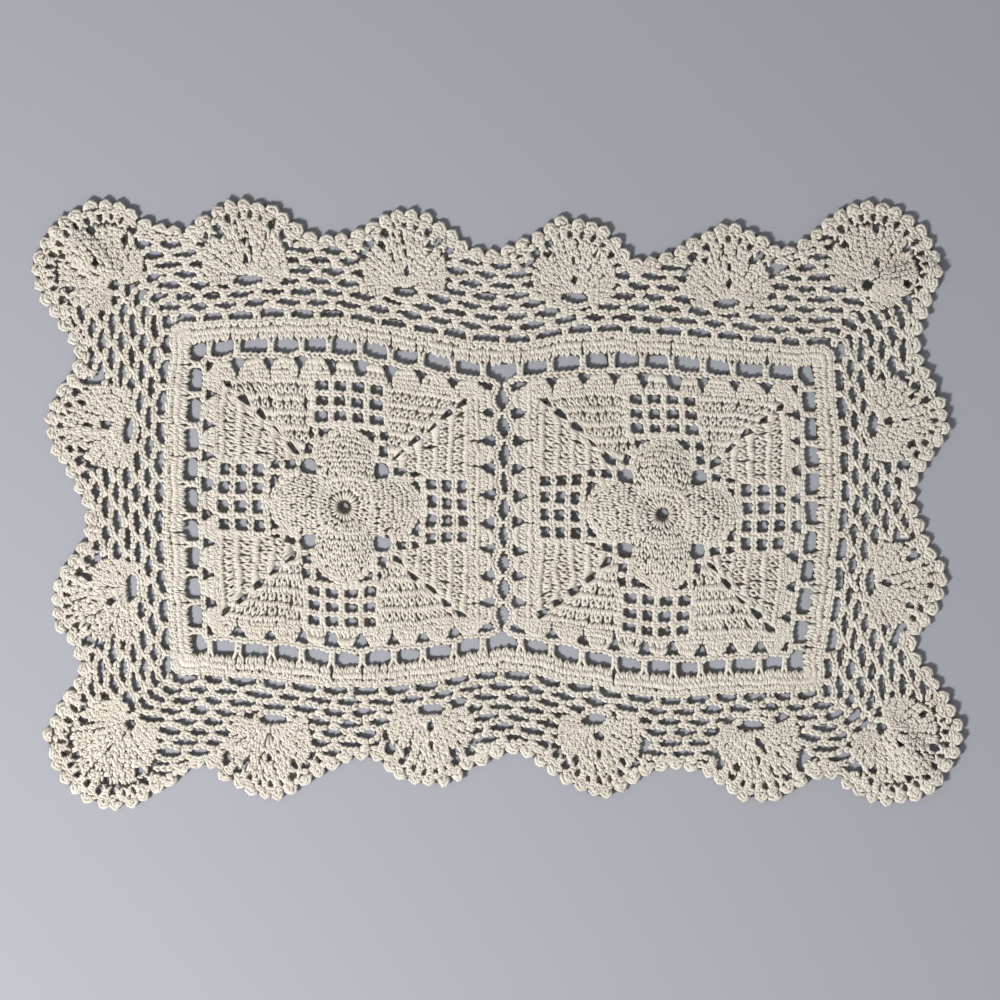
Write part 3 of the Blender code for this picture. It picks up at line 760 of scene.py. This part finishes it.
# For side shells and corner shells: the trebles in each round, a lobe's width in degrees, how far the hole at
# the root reaches aside, the chain loop's half width and depth, and the eyelets: aside, ahead, radius.
FANS = {
    False: ((13, 17, 22, 27), 56, 7.4, (9.0, 4.4),
            ((0.3, 0.4, 1.9), (0.0, 9.2, 1.3), (-12.0, 12.8, 1.8), (11.8, 12.2, 1.8))),
    True: ((13, 18, 24, 30, 36), 52, 3.6, (4.6, 4.6),
           ((0.3, 1.0, 1.6), (-9.6, 14.8, 1.7), (9.4, 14.8, 1.7), (-18.6, 0.0, 1.8), (18.6, 0.0, 1.8))),
}


def fan_line(start, reach, angle, share, pitch):
    """A round of a shell: a share of the way from the hole at its root to its rim, bowed out at each lobe."""
    lobe = 0.5 + 0.5 * np.cos(2 * np.pi * angle / math.radians(pitch))
    bow = 0.24 * share ** 2 * (lobe - 0.62) if share < 1 else 0.06 * (lobe - 1)
    return start + (reach - start) * (share + bow)


def shell(yarn, place):
    """One shell: rounds of trebles that fan out of the hole at its root, and a loop of chain behind it."""
    counts, pitch, hole_wide, (wide, deep), eyelets = FANS[place.corner]
    holes = []
    for side, front, radius in eyelets:
        holes.append((*(place.centre + side * place.aside + front * place.ahead), radius))
    for row, count in enumerate(counts):
        angle = np.radians(np.linspace(-place.span, place.span, count + 1))
        start = 1 / np.hypot(np.cos(angle) / 3.2, np.sin(angle) / hole_wide)
        way, rim_at = place.way(angle), place.reach(angle)
        low, high = (fan_line(start, rim_at, angle, (row + k) / len(counts), pitch) for k in (0, 1))
        cells = between(place.root + way * low[:, None], place.root + way * high[:, None])
        work(yarn, CLUSTER, cells, on_chart=False, loose=0.34, eyelets=holes)
    arch = np.radians(np.linspace(98, 262, 8))
    sin, cos = np.sin(arch)[:, None], np.cos(arch)[:, None]
    chain(yarn, place.root + sin * wide * place.aside + cos * deep * place.ahead, 2.5, on_chart=False)


def picots(yarn, ring, out):
    """The rim: a picot at every other point, a chain, and the bars that tie it to the shells."""
    before, after = np.roll(ring, 1, axis=0), np.roll(ring, -1, axis=0)
    knob = np.arange(0, len(ring), 2)
    near, far = before[knob] - out[knob - 1] * 2.6, after[knob] - out[knob + 1] * 2.6
    tip = out[knob] * 1.7
    cells = np.stack([near, far, after[knob] + tip, before[knob] + tip], 1)
    middle = cells.mean(axis=1, keepdims=True)
    cells = middle + (cells - middle) * 0.83
    leaning = rng.random(len(cells)) < 0.5
    cells[leaning] = turned_over(cells[leaning])
    work(yarn, PICOT_STITCH, cells, on_chart=False, loose=0.5, thinner=1.1)
    spots = ring - out * 3.4
    chain(yarn, np.vstack([spots, spots[:1]]), on_chart=False, loose=0.4)
    from_shell = np.min([np.hypot(*(ring - place.centre).T) for place in SHELL_PLACES], axis=0)
    bars = knob[from_shell[knob] < 33]
    width = (after[bars] - before[bars]) * 0.31
    cells = upright(ring[bars] - out[bars] * 8.8, ring[bars] - out[bars] * 4.2, width)
    work(yarn, POST, cells, on_chart=False)


# ---------------- the ground under the stitches

GROUND = (0.95, 1.35)  # height of its underside and its top
WEAVE = 2.2  # size of the ground's squares
FINE = 4                    # thread is looked for on a grid this many times finer
UNDER_THREAD = 0.8  # the share of a square that has to be near thread


def covered(yarns):
    """Which squares of a grid WEAVE apart lie well under thread, and where the grid starts."""
    spots = []
    for yarn in yarns:
        for points, _ in yarn.batches:
            for t in (0.0, 0.33, 0.67):
                spots.append((points[:, :-1] * (1 - t) + points[:, 1:] * t)[..., :2].reshape(-1, 2))
    spots = np.concatenate(spots)
    low = spots.min(axis=0) - 2 * WEAVE
    across, up = np.ceil((spots.max(axis=0) + 2 * WEAVE - low) / WEAVE).astype(int)
    hit = np.zeros((across * FINE, up * FINE), bool)
    hit[tuple(((spots - low) / (WEAVE / FINE)).astype(int).T)] = True
    wide = np.zeros_like(hit)
    for dx in (-1, 0, 1):
        for dy in (-1, 0, 1):
            wide |= np.roll(hit, (dx, dy), axis=(0, 1))
    return wide.reshape(across, FINE, up, FINE).mean(axis=(1, 3)) > UNDER_THREAD, low


def ground_mesh(name, squares, low):
    """A closed thin sheet made of the squares, its edges drawn smooth, and its area in square metres."""
    x, y = np.nonzero(squares)
    corners = ((x, y), (x + 1, y), (x + 1, y + 1), (x, y + 1))
    number = np.zeros((squares.shape[0] + 1, squares.shape[1] + 1), int)
    for corner in corners:
        number[corner] = 1
    spots = np.argwhere(number) * WEAVE + low
    count = len(spots)
    number[number > 0] = np.arange(count)
    quads = np.stack([number[corner] for corner in corners], -1)
    edges = np.concatenate([quads[:, (k, (k + 1) % 4)] for k in range(4)])
    border = edges[~np.isin(edges[:, 0] * count + edges[:, 1], edges[:, 1] * count + edges[:, 0])]
    for _ in range(2):
        total, near = np.zeros_like(spots), np.zeros(count)
        for a, b in ((0, 1), (1, 0)):
            np.add.at(total, border[:, a], spots[border[:, b]])
            np.add.at(near, border[:, a], 1)
        moves = near > 0
        spots[moves] = 0.45 * spots[moves] + 0.55 * total[moves] / near[moves][:, None]
    ring = spots[quads]
    turned = np.roll(ring, -1, axis=1)
    area = 0.5 * np.abs((ring[..., 0] * turned[..., 1] - ring[..., 1] * turned[..., 0]).sum(axis=1)).sum()
    rise = lift(*(spots + MIDDLE).T)
    verts = np.vstack([np.column_stack([spots, rise + height]) for height in GROUND])
    walls = np.column_stack([border[:, 0], border[:, 1], border[:, 1] + count, border[:, 0] + count])
    faces = np.vstack([quads + count, quads[:, ::-1], walls])
    mesh = bpy.data.meshes.new(name)
    mesh.from_pydata((verts * MM).tolist(), [], faces.tolist())
    mesh.update()
    return mesh, area * MM * MM


# ---------------- finishes

def linear(code):
    """A hex sRGB colour as linear RGBA."""
    values = [int(code[i:i + 2], 16) / 255 for i in (1, 3, 5)]
    return (*[v / 12.92 if v <= 0.04045 else ((v + 0.055) / 1.055) ** 2.4 for v in values], 1.0)


def feed(made, sockets):
    """Set a node's sockets to values, or link them to an output: a node stands for its first one."""
    for socket, source in sockets:
        if isinstance(source, bpy.types.Node):
            source = source.outputs[0]
        if isinstance(source, bpy.types.NodeSocket):
            made.id_data.links.new(source, made.inputs[socket])
        else:
            made.inputs[socket].default_value = source
    return made


def node(tree, kind, sockets=(), stops=(), **settings):
    """Add a node with its sockets and settings; stops are a ramp's places and hex colours."""
    made = tree.nodes.new("ShaderNode" + kind)
    for name, value in settings.items():
        setattr(made, name, value)
    if stops:
        elements = made.color_ramp.elements
        while len(elements) < len(stops):
            elements.new(0.5)
        for element, (place, code) in zip(elements, stops):
            element.position = place
            element.color = linear(code)
    return feed(made, sockets)


def new_finish(name):
    """A new material: itself, its node tree, its surface, and the place on the object for its patterns."""
    material = bpy.data.materials.new(name)
    material.use_nodes = True
    tree = material.node_tree
    return material, tree, tree.nodes["Principled BSDF"], node(tree, "TexCoord").outputs["Object"]


def spun_cotton(name, light, dark):
    """Three-ply crochet cotton, left matt: a little fuzzy, with the plies' slant showing as fine lines,
    bumped and with painted shade in their grooves.
    """
    material, tree, surface, where = new_finish(name)
    # The plies lie at 2.6 mm a turn, and there are three of them, so a groove crosses every 0.87 mm.
    parts = node(tree, "SeparateXYZ", [("Vector", node(tree, "UVMap", uv_map="UVMap"))])
    along = node(tree, "Math", [(0, parts.outputs["X"]), (1, 0.87)], operation="DIVIDE")
    slant = node(tree, "Math", [(0, parts.outputs["Y"]), (1, 3.0)], operation="MULTIPLY")
    both = node(tree, "Math", [(0, along), (1, slant)], operation="ADD")
    wave = node(tree, "Math", [(0, both), (1, 0.5)], operation="PINGPONG")
    ply = node(tree, "Math", [(0, wave), (1, 2.0)], operation="MULTIPLY")
    # Painted shade: the cream is scaled from 0.80 in the grooves between the plies up to 1.03 on their
    # crowns.
    groove = node(tree, "MapRange", [("Value", ply), ("To Min", 0.80), ("To Max", 1.03)])
    # Its cream changes from run to run, and over patches 36 mm across.
    patch = node(tree, "TexNoise", [("Vector", where), ("Scale", 28.0), ("Detail", 2.0)])
    tone = node(tree, "Attribute", attribute_name="tone").outputs["Fac"]
    mixed = node(tree, "Math", [(0, patch), (1, tone)], operation="ADD")
    halved = node(tree, "Math", [(0, mixed), (1, 0.5)], operation="MULTIPLY")
    cream = node(tree, "ValToRGB", [("Fac", halved)], [(0.15, dark), (0.6, light), (1.0, light)])
    colour = node(tree, "VectorMath", operation="SCALE", sockets=[(0, cream), ("Scale", groove)])
    # Its fuzz, drawn 0.4 mm apart to show, stands on the plies and not in the grooves.
    fuzz = node(tree, "TexNoise", [("Vector", where), ("Scale", 2600.0), ("Detail", 3.0)])
    height = node(tree, "Math", [(0, fuzz), (1, ply), (2, ply)], operation="MULTIPLY_ADD")
    bump = node(tree, "Bump", [("Height", height), ("Strength", 0.55), ("Distance", 0.22 * MM)])
    feed(surface, [("Base Color", colour), ("Normal", bump), ("Roughness", 0.88)])
    feed(surface, [("Specular IOR Level", 0.25), ("Sheen Weight", 0.25), ("Sheen Roughness", 0.6)])
    return material


def inner_cotton_painted_shade(name, shade, depth):
    """The inside of the stitches: the same cotton with its shade painted in as dark browns, with strands that
    pass behind, 1.1 mm apart.
    """
    material, tree, surface, where = new_finish(name)
    strands = node(tree, "TexNoise", [("Vector", where), ("Scale", 900.0), ("Detail", 3.0)])
    # Painted shade: the ramp runs between two dark browns, not the cotton's cream.
    base = node(tree, "ValToRGB", [("Fac", strands)], [(0.35, depth), (0.65, shade)])
    bump = node(tree, "Bump", [("Height", strands), ("Strength", 0.7), ("Distance", 0.4 * MM)])
    feed(surface, [("Base Color", base), ("Normal", bump), ("Roughness", 0.92), ("Specular IOR Level", 0.2)])
    return material


def studio_card(name, code):
    """Matt grey card, even and pale, with a paper grain 1.4 mm across."""
    material, tree, surface, where = new_finish(name)
    grain = node(tree, "TexNoise", [("Vector", where), ("Scale", 700.0), ("Detail", 2.0)])
    bump = node(tree, "Bump", [("Height", grain), ("Strength", 0.1), ("Distance", 0.2 * MM)])
    feed(surface, [("Base Color", linear(code)), ("Normal", bump)])
    feed(surface, [("Roughness", 0.95), ("Specular IOR Level", 0.1)])
    return material


# ---------------- what a user can change

class DoilyThread(bpy.types.PropertyGroup):
    thickness: bpy.props.FloatProperty(
        name="Thread", description="Thickness of the crochet thread", default=0.0018, unit="LENGTH")
    light: bpy.props.StringProperty(name="Cream", description="Colour of the cotton", default="#EAE3D6")
    dark: bpy.props.StringProperty(name="Aged cream", description="The darker cotton", default="#D8CDBD")
    # Painted shade: these two dark browns colour the ground as the shade deep between the stitches, the
    # darker one for its deepest places.
    inside: bpy.props.StringProperty(name="Inside", description="Between the threads", default="#51483D")
    depth: bpy.props.StringProperty(name="Depth", description="Its darkest places", default="#3A332B")


class DoilyStage(bpy.types.PropertyGroup):
    floor: bpy.props.StringProperty(name="Floor", description="Colour of the floor", default="#A3A4AA")
    height: bpy.props.FloatProperty(
        name="Camera height", description="How far above the doily the camera is", default=1.6, unit="LENGTH")
    seen: bpy.props.FloatProperty(
        name="Seen width", description="Width of floor in view", default=0.495, unit="LENGTH")
    key: bpy.props.FloatProperty(
        name="Key light", description="Power of the main light, in watts", default=34.8, unit="POWER")
    fill: bpy.props.FloatProperty(name="Fill light", description="How strong it is", default=0.36)
    sky: bpy.props.StringProperty(name="Fill colour", description="Its colour", default="#F1F3F8")


# ---------------- operators

def finish_piece(mesh, material, *nodes):
    """Link a finished mesh to the scene, on the doily's one body."""
    mesh.materials.append(material)
    piece = bpy.data.objects.new(mesh.name, mesh)
    bpy.context.scene.collection.objects.link(piece)
    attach(piece, "root")
    if nodes:
        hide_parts(*nodes)
    return piece


def cotton():
    """The thread's material, made once."""
    thread = bpy.context.scene.doily_thread
    made = bpy.data.materials.get("cream_crochet_cotton")
    return made or spun_cotton("cream_crochet_cotton", thread.light, thread.dark)


WORKED = []


def new_yarn():
    """Thread for one piece. What has been worked is kept, because the ground is cut to fit under it."""
    WORKED.append(Yarn(bpy.context.scene.doily_thread.thickness / 2 / MM))
    return WORKED[-1]


class DOILY_OT_flower_squares(bpy.types.Operator):
    """Work the two flower squares"""
    bl_idname = "doily.flower_squares"
    bl_label = "Flower squares"

    def execute(self, context):
        for side, name in ((-1, "west"), (1, "east")):
            yarn = new_yarn()
            flower_square(yarn, side)
            finish_piece(yarn.mesh(f"flower_square_{name}_stitches"), cotton(), f"flower_square_{name}")
        return {"FINISHED"}


class DOILY_OT_windows_and_band(bpy.types.Operator):
    """Work the open windows and the close band"""
    bl_idname = "doily.windows_and_band"
    bl_label = "Windows and band"

    def execute(self, context):
        yarn = new_yarn()
        windows_and_band(yarn)
        finish_piece(yarn.mesh("window_band_stitches"), cotton(), "border")
        return {"FINISHED"}


class DOILY_OT_net(bpy.types.Operator):
    """Work the diamond net, its north half and its south half"""
    bl_idname = "doily.net"
    bl_label = "Diamond net"

    def execute(self, context):
        yarns = [new_yarn(), new_yarn()]
        net(yarns, *rim())
        for yarn, name in zip(yarns, ("north", "south")):
            finish_piece(yarn.mesh(f"net_{name}_stitches"), cotton())
        return {"FINISHED"}


class DOILY_OT_shells(bpy.types.Operator):
    """Work the shells and their picot rim"""
    bl_idname = "doily.shells"
    bl_label = "Shells and picots"

    def execute(self, context):
        # The east shells are worked with the south ones.
        for name, parts in (("north", "north"), ("south", ("east", "south")), ("west", "west")):
            yarn = new_yarn()
            for place in SHELL_PLACES:
                if place.name.startswith(parts):
                    shell(yarn, place)
            finish_piece(yarn.mesh(f"shells_{name}_stitches"), cotton())
        yarn = new_yarn()
        picots(yarn, *rim())
        finish_piece(yarn.mesh("picot_rim_stitches"), cotton())
        return {"FINISHED"}


class DOILY_OT_ground(bpy.types.Operator):
    """Lay the thin ground inside the stitches, with every opening cut"""
    bl_idname = "doily.ground"
    bl_label = "Ground"

    def execute(self, context):
        thread = context.scene.doily_thread
        mesh, area = ground_mesh("doily_ground", *covered(WORKED))
        # The ground's dark colour is painted shade between the stitches.
        piece = finish_piece(mesh, inner_cotton_painted_shade("cotton_between_stitches", thread.inside, thread.depth))
        return {"FINISHED"}


class DOILY_OT_stage(bpy.types.Operator):
    """Set the floor, the lights and the camera"""
    bl_idname = "doily.stage"
    bl_label = "Stage"

    def execute(self, context):
        stage = context.scene.doily_stage
        bpy.ops.object.select_all(action="DESELECT")
        # The floor is a little under the doily, so that no two faces lie in one plane.
        bpy.ops.mesh.primitive_plane_add(size=6.0, location=(0, 0, -0.2 * MM))
        floor = context.object
        floor.name = "studio_floor"
        floor.data.materials.append(studio_card("grey_card", stage.floor))
        bpy.ops.object.light_add(type="AREA", location=(-0.95, -0.85, 1.15))
        key = context.object
        key.name = "key_light"
        key.rotation_euler = (-key.location).to_track_quat("-Z", "Y").to_euler()
        key.data.shape = "DISK"
        key.data.size = 0.35
        key.data.energy = stage.key
        world = bpy.data.worlds.new("soft_studio")
        context.scene.world = world
        world.use_nodes = True
        background = world.node_tree.nodes["Background"].inputs
        background["Color"].default_value = linear(stage.sky)
        background["Strength"].default_value = stage.fill
        # It looks straight down, from a little to the side of the doily's middle.
        bpy.ops.object.camera_add(location=(0.00113, 0.00194, stage.height), rotation=(0, 0, 0))
        camera = context.object
        camera.data.sensor_width = 36.0
        camera.data.lens = camera.data.sensor_width * stage.height / stage.seen
        context.scene.camera = camera
        context.scene.view_settings.view_transform = "Standard"
        return {"FINISHED"}


OPERATORS = (DOILY_OT_flower_squares, DOILY_OT_windows_and_band, DOILY_OT_net, DOILY_OT_shells,
             DOILY_OT_ground, DOILY_OT_stage)


class DOILY_PT_panel(bpy.types.Panel):
    """Everything about the doily, in the 3D view's sidebar"""
    bl_idname = "DOILY_PT_panel"
    bl_label = "Doily"
    bl_space_type = "VIEW_3D"
    bl_region_type = "UI"
    bl_category = "Doily"

    def draw(self, context):
        for group in (context.scene.doily_thread, context.scene.doily_stage):
            for name in group.__annotations__:
                self.layout.prop(group, name)
        for operator in OPERATORS:
            self.layout.operator(operator.bl_idname)


CLASSES = (DoilyThread, DoilyStage, *OPERATORS, DOILY_PT_panel)


def register():
    for made in CLASSES:
        bpy.utils.register_class(made)
    bpy.types.Scene.doily_thread = bpy.props.PointerProperty(type=DoilyThread)
    bpy.types.Scene.doily_stage = bpy.props.PointerProperty(type=DoilyStage)


def unregister():
    del bpy.types.Scene.doily_stage
    del bpy.types.Scene.doily_thread
    for made in reversed(CLASSES):
        bpy.utils.unregister_class(made)


def main():
    register()
    bpy.ops.doily.flower_squares()
    bpy.ops.doily.windows_and_band()
    bpy.ops.doily.net()
    bpy.ops.doily.shells()
    bpy.ops.doily.ground()
    bpy.ops.doily.stage()


if __name__ == "__main__":
    main()
